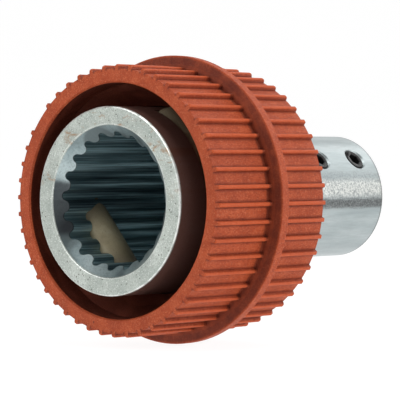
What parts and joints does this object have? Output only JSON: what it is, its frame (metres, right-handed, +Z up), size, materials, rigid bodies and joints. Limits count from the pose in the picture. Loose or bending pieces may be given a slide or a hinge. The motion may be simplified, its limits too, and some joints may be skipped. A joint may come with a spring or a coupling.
{
  "type": "quick-release spline coupling",
  "caption": "Steel shaft coupling with an internally splined mouth, two lock pins, a ribbed pull-back release sleeve and a set-screwed hub.",
  "frame": {"origin": "on the shaft axis, in the plane of the steel body's front face (the open mouth)", "axes": "+X along the shaft axis from the mouth back to the hub, +Z up"},
  "size_m": [0.1195, 0.094, 0.094],
  "materials": {
    "zinc_steel": "bright zinc plate, turned",
    "orange_nylon": "moulded, fine glass-filled grain",
    "tan_pin": "matt tan coating on steel",
    "spring_steel": "drawn wire, oiled",
    "washer_steel": "stamped, zinc plated",
    "guide_steel": "turned, zinc plated",
    "dark_ring": "black phosphate",
    "black_screw": "black oxide"
  },
  "bodies": {
    "body": {"coupler_body": "zinc_steel", "return_spring": "spring_steel", "spring_seat_washer": "washer_steel", "body_retaining_ring": "dark_ring"},
    "guide": {"rear_guide_ring": "guide_steel"},
    "sleeve": {"release_sleeve": "orange_nylon", "sleeve_retaining_ring": "dark_ring"},
    "pin_upper": {"lock_pin_upper": "tan_pin"},
    "pin_lower": {"lock_pin_lower": "tan_pin"},
    "screw_front": {"set_screw_front": "black_screw"},
    "screw_rear": {"set_screw_rear": "black_screw"}
  },
  "joints": [
    {"name": "sleeve_slide", "type": "slide", "parent": "body", "child": "guide", "axis": [1, 0, 0], "range_m": [0, 0.008], "stiffness_N_per_m": 2000, "springref_m": -0.01, "deforming": ["return_spring"]},
    {"name": "sleeve_spin", "type": "hinge", "parent": "guide", "child": "sleeve", "pos_m": [0, 0, 0], "axis": [1, 0, 0], "continuous": true},
    {"name": "lock_pin_upper_slide", "type": "slide", "parent": "body", "child": "pin_upper", "axis": [0, -0.7727, 0.6347], "range_m": [0, 0.0056]},
    {"name": "lock_pin_lower_slide", "type": "slide", "parent": "body", "child": "pin_lower", "axis": [0, 0.7727, -0.6347], "range_m": [0, 0.0056]},
    {"name": "set_screw_front_slide", "type": "slide", "parent": "body", "child": "screw_front", "axis": [0, -0.7727, 0.6347], "range_m": [0, 0.005]},
    {"name": "set_screw_rear_slide", "type": "slide", "parent": "body", "child": "screw_rear", "axis": [0, -0.7727, 0.6347], "range_m": [0, 0.005]}
  ],
  "couplings": [
    {"joint": "lock_pin_upper_slide", "follows": "sleeve_slide", "ratio": 0.7},
    {"joint": "lock_pin_lower_slide", "follows": "sleeve_slide", "ratio": 0.7}
  ]
}
